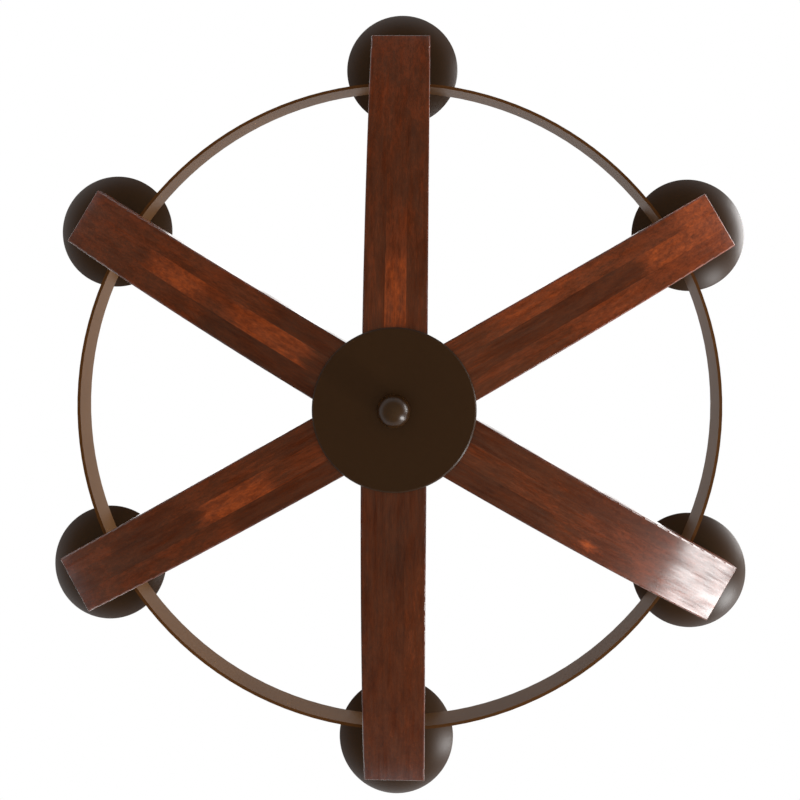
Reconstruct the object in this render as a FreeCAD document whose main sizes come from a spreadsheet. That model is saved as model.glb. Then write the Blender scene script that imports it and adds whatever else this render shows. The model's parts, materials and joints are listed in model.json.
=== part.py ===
import FreeCAD, Part

import os
import re

import Sketcher

# A six-arm wagon wheel chandelier: bowed wooden arms on a steel hub, a flat steel ring across their tops,
# and a round pan with a candle light over each arm's end. It hangs by a stem from a swivel under a canopy.
# Millimetres, +Z up. The origin is where the crossbar meets the ceiling, on the chandelier's axis.

# Driving sizes: each is written here once.
SIZES = {
    # whole
    "drop": 650.0,  # ceiling to the underside of the hub's cover
    "light_count": 6,  # arms, pans and candles
    "first_angle": 30.0,  # turn of the first arm from +X, degrees
    "fit": 0.1,  # play of a screwed or slipped-in piece in its hole
    "run_fit": 0.05,  # play of a piece that turns in its bearing
    "overcut": 1.0,  # how far a cut or a joined block runs past the face that it meets
    "head_taper": 0.6,  # a rounded head's flat top, as a share of the head's radius
    "head_rim": 0.4,  # a rounded head's straight edge, as a share of its height
    # arms: bowed boards with concentric top and underside
    "arm_tail": 21.7,  # wood beyond the pan's axis
    "arm_inner": 22.0,
    "arm_width": 63.5,
    "arm_thickness": 28.0,
    "arm_under_radius": 872.0,
    "arm_edge": 1.6,  # eased lower edges
    "mitre_gap": 0.3,  # half the gap between neighbouring mitres
    "seat_sink": 2.0,  # how deep the hub's flats are cut into the bow
    # wire groove along each arm's top, and the steel strip over it
    "groove_width": 9.0,
    "groove_depth": 12.5,
    "strip_width": 16.0,
    "strip_thickness": 1.5,
    "strip_stop": 4.0,  # from the strip's end to the ring
    "lead_radius": 2.0,
    "lead_bend": 12.0,
    "lead_start": 12.0,
    # hub
    "cover_radius": 79.4,
    "cover_thickness": 3.2,
    "cover_edge": 1.4,
    "lower_plate_radius": 55.0,
    "lower_plate_thickness": 4.0,
    "top_plate_radius": 58.0,
    "top_plate_thickness": 4.0,
    "core_radius": 21.5,
    "core_wall": 1.5,
    "wire_hole_radius": 4.0,
    "bolt_radius": 2.5,
    "bolt_head_radius": 5.0,
    "bolt_along": 44.0,
    "bolt_across": 13.0,
    "bolt_nut_flats": 8.0,
    "bolt_nut_height": 4.0,
    "bolt_end": 2.0,  # thread standing past the nut
    "rod_radius": 4.8,
    "rod_bore": 3.2,
    "rod_nut_flats": 17.0,
    "rod_nut_height": 4.0,
    "finial_radius": 15.75,
    "finial_neck_radius": 7.0,
    "finial_thread": 14.0,
    # ring
    "ring_radius": 344.5,
    "ring_strap": 3.2,
    "ring_height": 31.75,
    "ring_sink": 1.5,  # depth of the notch in the arms, at the ring's inner face
    # angle brackets that hold the ring to the arms
    "bracket_width": 30.0,
    "bracket_reach": 27.0,
    "bracket_thickness": 2.5,
    "bracket_height": 27.0,
    "bracket_screw_along": 9.0,  # from the bracket's inner end
    "bracket_screw_across": 11.0,
    "rivet_radius": 2.0,
    "rivet_head_radius": 3.6,
    "rivet_head_height": 2.0,
    "rivet_level": 15.0,  # above the ring's lower edge
    # wood screws, alike in the brackets and the posts
    "screw_radius": 1.8,
    "screw_head_radius": 3.0,
    "screw_head_height": 2.0,
    "screw_length": 16.0,
    "screw_point": 3.0,
    # posts that carry the pans, with feet that lie on the slope of the arms
    "pan_outside": 28.5,  # from the ring's outer face to the pan's axis
    "post_radius": 12.0,
    "post_bore": 7.0,
    "post_top": 4.0,
    "post_foot_radius": 19.0,
    "post_foot_thickness": 3.0,
    "foot_sink": 0.5,
    "post_screw_across": 15.5,
    # pans
    "pan_over_ring": 0.25,  # the pan's underside over the ring's upper edge
    "pan_radius": 63.0,
    "pan_depth": 22.0,
    "pan_wall": 1.5,
    "pan_flat": 13.0,
    # candles
    "cup_radius": 17.0,
    "cup_foot_radius": 12.8,
    "cup_height": 14.0,
    "cup_floor": 3.0,
    "cup_flare": 16.8,  # radius of the hollow curve around the cup
    "sleeve_radius": 12.0,
    "sleeve_wall": 1.2,
    "sleeve_length": 100.0,
    "nipple_grip": 6.0,  # thread in the socket and in the post
    "socket_radius": 10.3,
    "socket_length": 36.0,
    "socket_drop": 3.0,  # below the sleeve's upper edge
    "socket_bore": 6.8,
    "socket_bore_depth": 22.0,
    "bulb_base_radius": 6.2,
    "bulb_base_length": 20.0,
    "bulb_contact_radius": 2.5,
    "bulb_radius": 17.5,
    "bulb_length": 80.0,
    "bulb_neck_radius": 6.2,
    "bulb_neck_length": 6.0,
    "bulb_belly": 30.0,  # height of the widest place above the neck
    "bulb_point": 2.6,  # radius of the rounded tip
    "bulb_wall": 0.7,
    # column on the hub
    "column_base_radius": 24.0,
    "column_base_height": 22.0,
    "column_base_foot": 4.4,  # height of the base's straight foot
    "column_base_neck": 16.5,  # height at which its neck starts
    "column_base_flare": 19.8,  # radius of its hollow curve
    "column_radius": 10.0,
    "column_wall": 1.5,
    "column_length": 300.0,
    "column_recess": 5.0,
    "cap_radius": 13.0,
    "cap_height": 30.0,
    "cap_thread": 8.0,
    # stem
    "stem_radius": 8.0,
    "stem_bore": 5.0,
    "stem_recess": 12.0,
    # tilting knuckle
    "pin_depth": 50.0,  # ceiling to the tilt pin
    "pin_radius": 3.0,
    "pin_head_radius": 4.5,
    "pin_head_height": 1.5,
    "tilt_limit": 25.0,  # degrees either way
    "tongue_thickness": 10.0,
    "tongue_half_width": 9.0,
    "slot_play": 0.1,  # each side of the tongue
    "slot_roof": 3.0,  # over the tongue's round end
    "shoulder_drop": 13.0,  # pin to the knuckle's shoulder
    "shoulder_play": 0.3,
    "knuckle_radius": 11.0,
    "knuckle_length": 26.0,
    # swivel
    "fork_half_width": 9.0,
    "fork_half_breadth": 13.0,
    "fork_top": 35.0,  # ceiling to the fork's crown
    "swivel_neck_radius": 8.0,
    "swivel_flange_radius": 12.9,
    "swivel_flange_height": 2.5,
    "swivel_hub_radius": 10.5,
    "swivel_hub_height": 2.5,
    "swivel_lug_width": 4.0,
    "swivel_bore": 3.5,
    "swivel_body_radius": 17.0,
    "swivel_body_top": 8.0,  # ceiling to the body's upper face
    "swivel_body_roof": 5.0,
    "swivel_cavity_radius": 13.0,
    "swivel_cavity_depth": 9.0,
    "swivel_cap_radius": 14.5,
    "swivel_cap_height": 10.0,
    "stop_screw_radius": 1.5,
    "stop_screw_reach": 11.2,  # from the axis to the screw's tip
    # ceiling fittings
    "crossbar_length": 106.0,
    "crossbar_width": 20.0,
    "crossbar_thickness": 3.0,
    "slot_spacing": 88.9,
    "slot_width": 4.8,
    "slot_length": 12.0,
    "mount_nipple_top": 0.3,
    "canopy_radius": 63.5,
    "canopy_depth": 28.0,
    "canopy_wall": 1.2,
    "canopy_shoulder": 16.0,
    "canopy_hole_play": 0.4,
    "canopy_screw_spacing": 60.0,
    "canopy_screw_radius": 2.1,
    "canopy_knob_radius": 6.0,
    "canopy_knob_neck": 3.0,
}

document = FreeCAD.newDocument("chandelier")
sheet = document.addObject("Spreadsheet::Sheet", "Sizes")
for row, (alias, number) in enumerate(SIZES.items(), start=1):
    sheet.set(f"A{row}", alias)
    sheet.set(f"B{row}", str(number))
    sheet.setAlias(f"B{row}", alias)
document.recompute()


def tied(words):
    """The same expression, with each size's name pointing at its cell."""

    def cell(found):
        return f"Sizes.{found.group()}" if found.group() in SIZES else found.group()

    return re.sub(r"[a-z][a-z_]+", cell, words)


def value(words):
    """What an expression comes to now; sketches are drawn there before they are bound."""
    number = sheet.evalExpression(words)
    return float(getattr(number, "Value", number))


def bind(item, place, words):
    item.setExpression(place, tied(words))


# ---- levels and curves that several pieces share ---------------------------------------------------------

PAN_AXIS = "(ring_radius + pan_outside)"
ARM_REACH = f"({PAN_AXIS} + arm_tail)"

COVER_TOP = "(cover_thickness - drop)"
BOW_CENTRE = f"({COVER_TOP} - seat_sink + arm_under_radius)"
TOP_RADIUS = "(arm_under_radius - arm_thickness)"


def bow(radius, along):
    """Height of a bowed line of that radius, at a distance from the chandelier's axis."""
    return f"({BOW_CENTRE} - sqrt(({radius})^2 - ({along})^2))"


def arm_top(along):
    return bow(TOP_RADIUS, along)


LOWER_PLATE_TOP = f"({COVER_TOP} + lower_plate_thickness)"
ARM_TOP_FLAT = f"({COVER_TOP} - seat_sink + arm_thickness)"
HUB_TOP = f"({ARM_TOP_FLAT} + top_plate_thickness)"
FLAT_END = "sqrt(2 * arm_under_radius * seat_sink - seat_sink^2)"
LEAD_RADIUS = f"({TOP_RADIUS} + groove_depth - lead_radius - fit)"

RING_INNER = "(ring_radius - ring_strap)"
RING_BOTTOM = f"({arm_top(RING_INNER)} - ring_sink)"
RING_TOP = f"({RING_BOTTOM} + ring_height)"

BRACKET_FACE = f"(sqrt({RING_INNER}^2 - (bracket_width / 2)^2) - run_fit)"
BRACKET_END = f"({BRACKET_FACE} - bracket_reach)"
BRACKET_SLOPE = f"(({arm_top(BRACKET_FACE)} - {arm_top(BRACKET_END)}) / bracket_reach)"
BRACKET_RISE = f"(bracket_thickness * sqrt(1 + {BRACKET_SLOPE}^2))"
BRACKET_SCREW_UP = f"({arm_top(BRACKET_END)} + bracket_screw_along * {BRACKET_SLOPE} + {BRACKET_RISE})"

FOOT_TILT = f"asin({PAN_AXIS} / {TOP_RADIUS})"
FOOT_UP = f"({arm_top(PAN_AXIS)} - foot_sink)"
PAN_BOTTOM = f"({RING_TOP} + pan_over_ring)"
PAN_FLOOR = f"({PAN_BOTTOM} + pan_wall)"
SLEEVE_BOTTOM = f"({PAN_FLOOR} + cup_floor)"
SOCKET_TOP = f"({SLEEVE_BOTTOM} + sleeve_length - socket_drop)"
SOCKET_BOTTOM = f"({SOCKET_TOP} - socket_length)"
BULB_BASE_BOTTOM = f"({SOCKET_TOP} - socket_bore_depth)"
BULB_BOTTOM = f"({BULB_BASE_BOTTOM} + bulb_base_length)"

TUBE_BOTTOM = f"({HUB_TOP} + column_base_height - column_recess)"
TUBE_TOP = f"({TUBE_BOTTOM} + column_length)"
CAP_BOTTOM = f"({TUBE_TOP} - column_recess)"
CAP_TOP = f"({CAP_BOTTOM} + cap_height)"
ROD_TOP = f"({TUBE_TOP} + cap_thread)"
STEM_BOTTOM = f"({CAP_TOP} - stem_recess)"
SHOULDER = "(-pin_depth - shoulder_drop)"
KNUCKLE_BOTTOM = f"({SHOULDER} - knuckle_length)"
STEM_TOP = f"({KNUCKLE_BOTTOM} + stem_recess)"

CAVITY_TOP = "(-swivel_body_top - swivel_body_roof)"
CAP_SEAT = f"({CAVITY_TOP} - swivel_cavity_depth)"
SWIVEL_BOTTOM = f"({CAP_SEAT} - swivel_cap_height)"
FLANGE_BOTTOM = f"({CAP_SEAT} + run_fit)"
FLANGE_TOP = f"({FLANGE_BOTTOM} + swivel_flange_height)"
STOP_LEVEL = f"({FLANGE_TOP} + stop_screw_radius + shoulder_play)"


# ---- drawing tools ---------------------------------------------------------------------------------------


def new_body(name, turn="0"):
    """An empty body, turned about the chandelier's axis."""
    body = document.addObject("PartDesign::Body", name)
    body.Label = name
    body.AllowCompound = True
    bind(body, "Placement.Rotation.Angle", turn)
    return body


def sketch_on(body, role, along="0", up="0", out="0", tilt="0"):
    """A sketch on one of the body's own planes, shifted in it and off it, and turned in it."""
    sketch = body.newObject("Sketcher::SketchObject", "sketch")
    plane = next(item for item in body.Origin.OriginFeatures if item.Role == role)
    sketch.AttachmentSupport = (plane, [""])
    sketch.MapMode = "FlatFace"
    bind(sketch, "AttachmentOffset.Base.x", along)
    bind(sketch, "AttachmentOffset.Base.y", up)
    bind(sketch, "AttachmentOffset.Base.z", out)
    bind(sketch, "AttachmentOffset.Rotation.Angle", tilt)
    return sketch


def arc_between(start, end, radius):
    """The short arc from start to end: anticlockwise if its radius is positive."""
    chord = end - start
    middle = (start + end) / 2
    away = FreeCAD.Vector(-chord.y, chord.x, 0).normalize()
    reach = (radius**2 - (chord.Length / 2) ** 2) ** 0.5
    centre = middle + away * (reach if radius > 0 else -reach)
    first, last = (start, end) if radius > 0 else (end, start)
    circle = Part.Circle(centre, FreeCAD.Vector(0, 0, 1), abs(radius))
    return Part.ArcOfCircle(circle, circle.parameter(first), circle.parameter(last))


def outline(sketch, corners, closed=True):
    """Lines and arcs through the corners. A corner is (along, up), or (along, up, radius) where the edge
    that leads to it is an arc. Every corner and radius is bound to the sheet."""
    points = [FreeCAD.Vector(value(corner[0]), value(corner[1]), 0) for corner in corners]
    count = len(corners)
    edges = []
    for index in range(count if closed else count - 1):
        following = (index + 1) % count
        start, end = points[index], points[following]
        if len(corners[following]) == 2:
            edges.append((sketch.addGeometry(Part.LineSegment(start, end), False), 1, 2))
            continue
        radius = corners[following][2]
        edge = sketch.addGeometry(arc_between(start, end, value(radius)), False)
        edges.append((edge, 1, 2) if value(radius) > 0 else (edge, 2, 1))
        sized = sketch.addConstraint(Sketcher.Constraint("Radius", edge, abs(value(radius))))
        bind(sketch, f"Constraints[{sized}]", f"abs({radius})")
    for index in range(count if closed else count - 2):
        here, following = edges[index], edges[(index + 1) % len(edges)]
        sketch.addConstraint(Sketcher.Constraint("Coincident", here[0], here[2], following[0], following[1]))
    for index, corner in enumerate(corners):
        edge, start, end = edges[index] if index < len(edges) else edges[-1]
        place = start if index < len(edges) else end
        for kind, words in (("DistanceX", corner[0]), ("DistanceY", corner[1])):
            sized = sketch.addConstraint(Sketcher.Constraint(kind, -1, 1, edge, place, value(words)))
            bind(sketch, f"Constraints[{sized}]", words)


def circle_in(sketch, radius, along="0", up="0"):
    """A circle, bound to the sheet."""
    centre = FreeCAD.Vector(value(along), value(up), 0)
    circle = Part.Circle(centre, FreeCAD.Vector(0, 0, 1), value(radius))
    edge = sketch.addGeometry(circle, False)
    for kind, words in (("DistanceX", along), ("DistanceY", up)):
        sized = sketch.addConstraint(Sketcher.Constraint(kind, -1, 1, edge, 3, value(words)))
        bind(sketch, f"Constraints[{sized}]", words)
    sized = sketch.addConstraint(Sketcher.Constraint("Radius", edge, value(radius)))
    bind(sketch, f"Constraints[{sized}]", radius)


def rounded_slot(sketch, centre, length, width):
    """A slot along X with round ends."""
    straight = f"({length} - {width}) / 2"
    end = f"{width} / 2"
    corners = [
        (f"{centre} - {straight}", f"-{end}", end),
        (f"{centre} + {straight}", f"-{end}"),
        (f"{centre} + {straight} + {end}", "0", end),
        (f"{centre} + {straight}", end, end),
        (f"{centre} - {straight}", end),
        (f"{centre} - {straight} - {end}", "0", end),
    ]
    outline(sketch, corners)


def turned(body, corners, cut=False, **where):
    """Revolves a half outline about its own upright axis, which may stand off the body's axis or lean."""
    sketch = sketch_on(body, "XZ_Plane", **where)
    outline(sketch, corners)
    feature = body.newObject("PartDesign::Groove" if cut else "PartDesign::Revolution", "turned")
    feature.Profile = sketch
    feature.ReferenceAxis = (sketch, ["V_Axis"])
    feature.Angle = 360
    return feature


def bored(body, radius, low, high, **where):
    """A round hole between two levels."""
    return turned(body, tube_corners("0", radius, low, high), cut=True, **where)


def tube_corners(inner, outer, low, high):
    return [(inner, low), (outer, low), (outer, high), (inner, high)]


def slab(body, corners, width, cut=False, **where):
    """An upright outline made as thick as the width, half of it on either side of the plane."""
    sketch = sketch_on(body, "XZ_Plane", **where)
    outline(sketch, corners)
    feature = body.newObject("PartDesign::Pocket" if cut else "PartDesign::Pad", "slab")
    feature.Profile = sketch
    feature.SideType = "Symmetric"
    bind(feature, "Length", width)
    return feature


def raised(body, corners, low, height, cut=False):
    """A plan outline raised from one level by a height, or cut away there."""
    sketch = sketch_on(body, "XY_Plane", out=low)
    outline(sketch, corners)
    feature = body.newObject("PartDesign::Pocket" if cut else "PartDesign::Pad", "raised")
    feature.Profile = sketch
    feature.Reversed = cut
    bind(feature, "Length", height)
    return feature


def crosswise(body, circles, width, cut=False, out="0"):
    """Round rods or holes that lie along Y: a plan of circles given as (radius, level)."""
    sketch = sketch_on(body, "XZ_Plane", out=out)
    for radius, level in circles:
        circle_in(sketch, radius, up=level)
    feature = body.newObject("PartDesign::Pocket" if cut else "PartDesign::Pad", "crosswise")
    feature.Profile = sketch
    feature.SideType = "Symmetric"
    bind(feature, "Length", width)
    return feature


def hexagon(flats):
    """Corners of a nut in plan, about the origin."""
    ring = f"({flats}) / sqrt(3)"
    return [(f"{ring} * cos({60 * side})", f"{ring} * sin({60 * side})") for side in range(6)]


def nut(body, flats, bore, low, height, along="0", across="0"):
    """A hexagon nut, with its hole."""
    sketch = sketch_on(body, "XY_Plane", along=along, up=across, out=low)
    outline(sketch, hexagon(flats))
    circle_in(sketch, bore)
    feature = body.newObject("PartDesign::Pad", "nut")
    feature.Profile = sketch
    bind(feature, "Length", height)
    return feature


def repeated(body, features):
    """The features once for each light, around the chandelier's axis."""
    pattern = body.newObject("PartDesign::PolarPattern", "repeated")
    pattern.Originals = features
    pattern.Axis = (next(item for item in body.Origin.OriginFeatures if item.Role == "Z_Axis"), [""])
    pattern.Angle = 360
    bind(pattern, "Occurrences", "light_count")
    body.Tip = pattern
    return pattern


# ---- arms ------------------------------------------------------------------------------------------------


def wood_screw_corners(head_down):
    """A wood screw's half outline; its head's underside is at height head_down."""
    tip = f"({head_down} - screw_length)"
    return [
        ("0", tip),
        ("screw_radius", f"{tip} + screw_point"),
        ("screw_radius", head_down),
        ("screw_head_radius", head_down),
        ("screw_head_radius", f"{head_down} + screw_head_height * head_rim"),
        ("screw_head_radius * head_taper", f"{head_down} + screw_head_height"),
        ("0", f"{head_down} + screw_head_height"),
    ]


def screw_places():
    """Where an arm's four wood screws go: how they stand, and the height of each head's underside there."""
    for side in ("", "-"):
        post = {"along": PAN_AXIS, "up": FOOT_UP, "out": f"{side}post_screw_across", "tilt": FOOT_TILT}
        yield "post", post, "post_foot_thickness"
    for side in ("", "-"):
        along = f"({BRACKET_END} + bracket_screw_along)"
        bracket = {"along": along, "up": BRACKET_SCREW_UP, "out": f"{side}bracket_screw_across"}
        yield "bracket", {**bracket, "tilt": f"atan({BRACKET_SLOPE})"}, "0"


def make_arm(number):
    """A bowed board along +X with mitred inner end, cut for the hub's plates, the groove, ring and post."""
    body = new_body(f"arm_{number}", f"first_angle + {number} * 360 / light_count")
    lower_step = "(lower_plate_radius + fit)"
    upper_step = "(top_plate_radius + fit)"
    board = [
        ("arm_inner", LOWER_PLATE_TOP),
        (lower_step, LOWER_PLATE_TOP),
        (lower_step, COVER_TOP),
        (FLAT_END, COVER_TOP),
        (ARM_REACH, bow("arm_under_radius", ARM_REACH), "arm_under_radius"),
        (ARM_REACH, arm_top(ARM_REACH)),
        (upper_step, arm_top(upper_step), f"-{TOP_RADIUS}"),
        (upper_step, ARM_TOP_FLAT),
        ("arm_inner", ARM_TOP_FLAT),
    ]
    blank = slab(body, board, "arm_width")
    document.recompute()

    heel = value(bow("arm_under_radius", ARM_REACH))
    lower_edges = []
    for index, edge in enumerate(blank.Shape.Edges, start=1):
        box = edge.BoundBox
        radius = getattr(edge.Curve, "Radius", 0)
        bowed = abs(radius - value("arm_under_radius")) < 0.01
        at_heel = abs(box.ZMin - heel) < 0.01 and abs(box.ZMax - heel) < 0.01
        if bowed or at_heel:
            lower_edges.append(f"Edge{index}")
    ease = body.newObject("PartDesign::Fillet", "ease")
    ease.Base = (blank, lower_edges)
    bind(ease, "Radius", "arm_edge")

    for side in ("", "-"):
        reach = "arm_width"
        mitre = [
            ("0", f"{side}(-mitre_gap / cos(180 / light_count))"),
            (reach, f"{side}({reach} * tan(180 / light_count) - mitre_gap / cos(180 / light_count))"),
            ("0", f"{side}({reach} * tan(180 / light_count))"),
        ]
        raised(body, mitre, COVER_TOP, "arm_thickness", cut=True)

    groove_floor = f"({TOP_RADIUS} + groove_depth)"
    groove_start = "(arm_inner - overcut)"
    groove_end = f"({PAN_AXIS} + lead_radius + fit)"
    above = f"({arm_top(groove_end)} + foot_sink)"
    groove = [
        (groove_start, bow(groove_floor, groove_start)),
        (groove_end, bow(groove_floor, groove_end), groove_floor),
        (groove_end, above),
        (groove_start, above),
    ]
    slab(body, groove, "groove_width", cut=True)

    strip_floor = f"({TOP_RADIUS} + strip_thickness)"
    strip_end = f"({RING_INNER} - strip_stop + fit)"
    rebate = [
        (upper_step, bow(strip_floor, upper_step)),
        (strip_end, bow(strip_floor, strip_end), strip_floor),
        (strip_end, above),
        (upper_step, above),
    ]
    slab(body, rebate, "strip_width + 2 * fit", cut=True)

    notch = tube_corners(f"{RING_INNER} - fit", "ring_radius + fit", RING_BOTTOM, RING_TOP)
    turned(body, notch, cut=True)
    on_slope = {"along": PAN_AXIS, "up": FOOT_UP, "tilt": FOOT_TILT}
    bored(body, "post_foot_radius + fit", "0", "post_foot_radius", **on_slope)
    for side in ("", "-"):
        bored(body, "bolt_radius + fit", COVER_TOP, HUB_TOP, along="bolt_along", out=f"{side}bolt_across")
    for _, place, head_down in screw_places():
        bored(body, "screw_radius + fit", f"{head_down} - screw_length - fit", head_down, **place)
    return body


def make_wire_strips():
    """The steel strips over the arms' grooves, flush with the wood."""
    body = new_body("wire_strips", "first_angle")
    start = "(top_plate_radius + 3 * fit)"
    end = f"({RING_INNER} - strip_stop)"
    floor = f"({TOP_RADIUS} + strip_thickness)"
    strip = [(start, bow(floor, start)), (end, bow(floor, end), floor), (end, arm_top(end))]
    strip.append((start, arm_top(start), f"-{TOP_RADIUS}"))
    repeated(body, [slab(body, strip, "strip_width")])


def make_arm_leads():
    """The two-core lead of each light: along the groove's floor, then up through post and nipple."""
    body = new_body("arm_leads", "first_angle")
    turn_centre = f"({PAN_AXIS} - lead_bend)"
    inner_reach = f"({LEAD_RADIUS} - lead_bend)"
    turn_drop = f"sqrt({inner_reach}^2 - {turn_centre}^2)"
    turn_level = f"({BOW_CENTRE} - {turn_drop})"
    bend_start = f"({LEAD_RADIUS} * {turn_centre} / {inner_reach})"
    spine = sketch_on(body, "XZ_Plane")
    route = [
        ("lead_start", bow(LEAD_RADIUS, "lead_start")),
        (bend_start, f"({BOW_CENTRE} - {LEAD_RADIUS} * {turn_drop} / {inner_reach})", LEAD_RADIUS),
        (PAN_AXIS, turn_level, "lead_bend"),
        (PAN_AXIS, f"{SOCKET_BOTTOM} + nipple_grip"),
    ]
    outline(spine, route, closed=False)
    section = sketch_on(body, "YZ_Plane", up=bow(LEAD_RADIUS, "lead_start"), out="lead_start")
    circle_in(section, "lead_radius")
    lead = body.newObject("PartDesign::AdditivePipe", "lead")
    lead.Profile = section
    lead.Spine = (spine, [f"Edge{index}" for index in range(1, len(route))])
    repeated(body, [lead])


# ---- hub -------------------------------------------------------------------------------------------------


def bolt_places():
    for side in ("", "-"):
        yield {"along": "bolt_along", "out": f"{side}bolt_across"}


def make_hub():
    """Two plates that clamp the arms, a core between them, and the bolts."""
    head_depth = "(bolt_head_radius - bolt_radius)"
    lower = new_body("hub_lower_plate", "first_angle")
    turned(lower, tube_corners("rod_radius + fit", "lower_plate_radius", COVER_TOP, LOWER_PLATE_TOP))
    countersink = [
        ("0", COVER_TOP),
        ("bolt_head_radius + fit", COVER_TOP),
        ("bolt_radius + fit", f"{COVER_TOP} + {head_depth}"),
        ("bolt_radius + fit", LOWER_PLATE_TOP),
        ("0", LOWER_PLATE_TOP),
    ]
    repeated(lower, [turned(lower, countersink, cut=True, **place) for place in bolt_places()])

    upper = new_body("hub_top_plate", "first_angle")
    turned(upper, tube_corners("rod_radius + fit", "top_plate_radius", ARM_TOP_FLAT, HUB_TOP))
    bolt_hole = ("bolt_radius + fit", ARM_TOP_FLAT, HUB_TOP)
    repeated(upper, [bored(upper, *bolt_hole, **place) for place in bolt_places()])

    core = new_body("hub_core", "first_angle")
    turned(core, tube_corners("core_radius - core_wall", "core_radius", LOWER_PLATE_TOP, ARM_TOP_FLAT))
    wire_level = bow(LEAD_RADIUS, "core_radius")
    wire_hole = ("wire_hole_radius", "core_radius / 2", "2 * core_radius")
    repeated(core, [bored(core, *wire_hole, up=wire_level, tilt="-90")])

    bolts = new_body("hub_bolts", "first_angle")
    bolt = [
        ("0", COVER_TOP),
        ("bolt_head_radius", COVER_TOP),
        ("bolt_radius", f"{COVER_TOP} + {head_depth}"),
        ("bolt_radius", f"{HUB_TOP} + bolt_nut_height + bolt_end"),
        ("0", f"{HUB_TOP} + bolt_nut_height + bolt_end"),
    ]
    repeated(bolts, [turned(bolts, bolt, **place) for place in bolt_places()])

    nuts = new_body("hub_nuts", "first_angle")
    bolt_nut = ("bolt_nut_flats", "bolt_radius + fit", HUB_TOP, "bolt_nut_height", "bolt_along")
    repeated(nuts, [nut(nuts, *bolt_nut, across=f"{side}bolt_across") for side in ("", "-")])


def make_hub_cover():
    """The round cover plate with its rounded lower edge, and the ball that screws it on."""
    cover = new_body("hub_cover")
    plate = [
        ("rod_radius + fit", "-drop"),
        ("cover_radius - cover_edge", "-drop"),
        ("cover_radius", "cover_edge - drop", "cover_edge"),
        ("cover_radius", COVER_TOP),
        ("rod_radius + fit", COVER_TOP),
    ]
    turned(cover, plate)

    finial = new_body("finial")
    centre = "(-drop - sqrt(finial_radius^2 - finial_neck_radius^2))"
    thread_end = "(-drop - finial_thread - fit)"
    ball = [
        ("0", f"{centre} - finial_radius"),
        ("finial_radius", centre, "finial_radius"),
        ("finial_neck_radius", "-drop", "finial_radius"),
        ("rod_radius + fit", "-drop"),
        ("rod_radius + fit", thread_end),
        ("0", thread_end),
    ]
    turned(finial, ball)


# ---- ring ------------------------------------------------------------------------------------------------


def make_ring():
    """The flat strap ring on edge, with a rivet hole at each arm."""
    ring = new_body("ring", "first_angle")
    turned(ring, tube_corners(RING_INNER, "ring_radius", RING_BOTTOM, RING_TOP))
    rivet_up = f"({RING_BOTTOM} + rivet_level)"
    through = f"{RING_INNER} - ring_strap"
    wall = ("rivet_radius + fit", through, "ring_radius + overcut")
    repeated(ring, [bored(ring, *wall, up=rivet_up, tilt="-90")])

    brackets = new_body("ring_brackets", "first_angle")
    angle = [
        (BRACKET_END, arm_top(BRACKET_END)),
        (BRACKET_FACE, arm_top(BRACKET_FACE)),
        (BRACKET_FACE, f"{RING_BOTTOM} + bracket_height"),
        (f"{BRACKET_FACE} - bracket_thickness", f"{RING_BOTTOM} + bracket_height"),
        (
            f"{BRACKET_FACE} - bracket_thickness",
            f"{arm_top(BRACKET_FACE)} - bracket_thickness * {BRACKET_SLOPE} + {BRACKET_RISE}",
        ),
        (BRACKET_END, f"{arm_top(BRACKET_END)} + {BRACKET_RISE}"),
    ]
    features = [slab(brackets, angle, "bracket_width")]
    features.append(bored(brackets, "rivet_radius + fit", through, "ring_radius", up=rivet_up, tilt="-90"))
    for kind, place, _ in screw_places():
        if kind == "bracket":
            ends = ("-2 * bracket_thickness", "overcut")
            features.append(bored(brackets, "screw_radius + fit", *ends, **place))
    repeated(brackets, features)

    rivets = new_body("ring_rivets", "first_angle")
    inside = f"({BRACKET_FACE} - bracket_thickness)"
    rivet = [
        ("0", f"{inside} - rivet_head_height"),
        ("rivet_head_radius * head_taper", f"{inside} - rivet_head_height"),
        ("rivet_head_radius", inside),
        ("rivet_radius", inside),
        ("rivet_radius", "ring_radius"),
        ("rivet_head_radius", "ring_radius"),
        ("rivet_head_radius * head_taper", "ring_radius + rivet_head_height"),
        ("0", "ring_radius + rivet_head_height"),
    ]
    repeated(rivets, [turned(rivets, rivet, up=rivet_up, tilt="-90")])


def make_wood_screws(kind, name):
    body = new_body(name, "first_angle")
    screws = []
    for of_kind, place, head_down in screw_places():
        if of_kind == kind:
            screws.append(turned(body, wood_screw_corners(head_down), **place))
    repeated(body, screws)


# ---- pans and candles ------------------------------------------------------------------------------------


def make_pan_posts():
    """Hollow posts whose feet lie on the slope of the arms."""
    body = new_body("pan_posts", "first_angle")
    below = f"({FOOT_UP} - post_radius)"
    shaft = turned(body, tube_corners("0", "post_radius", below, PAN_BOTTOM), along=PAN_AXIS)
    slope = {"along": PAN_AXIS, "up": FOOT_UP, "tilt": FOOT_TILT}
    foot = turned(body, tube_corners("0", "post_foot_radius", "0", "post_foot_thickness"), **slope)
    trim = bored(body, "2 * post_radius", "-2 * post_radius", "0", **slope)
    chamber = bored(body, "post_bore", below, f"{PAN_BOTTOM} - post_top", along=PAN_AXIS)
    thread = bored(body, "rod_radius + fit", FOOT_UP, PAN_BOTTOM, along=PAN_AXIS)
    features = [shaft, foot, trim, chamber, thread]
    for kind, place, head_down in screw_places():
        if kind == "post":
            features.append(bored(body, "screw_radius + fit", "-overcut", head_down, **place))
    repeated(body, features)


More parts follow.
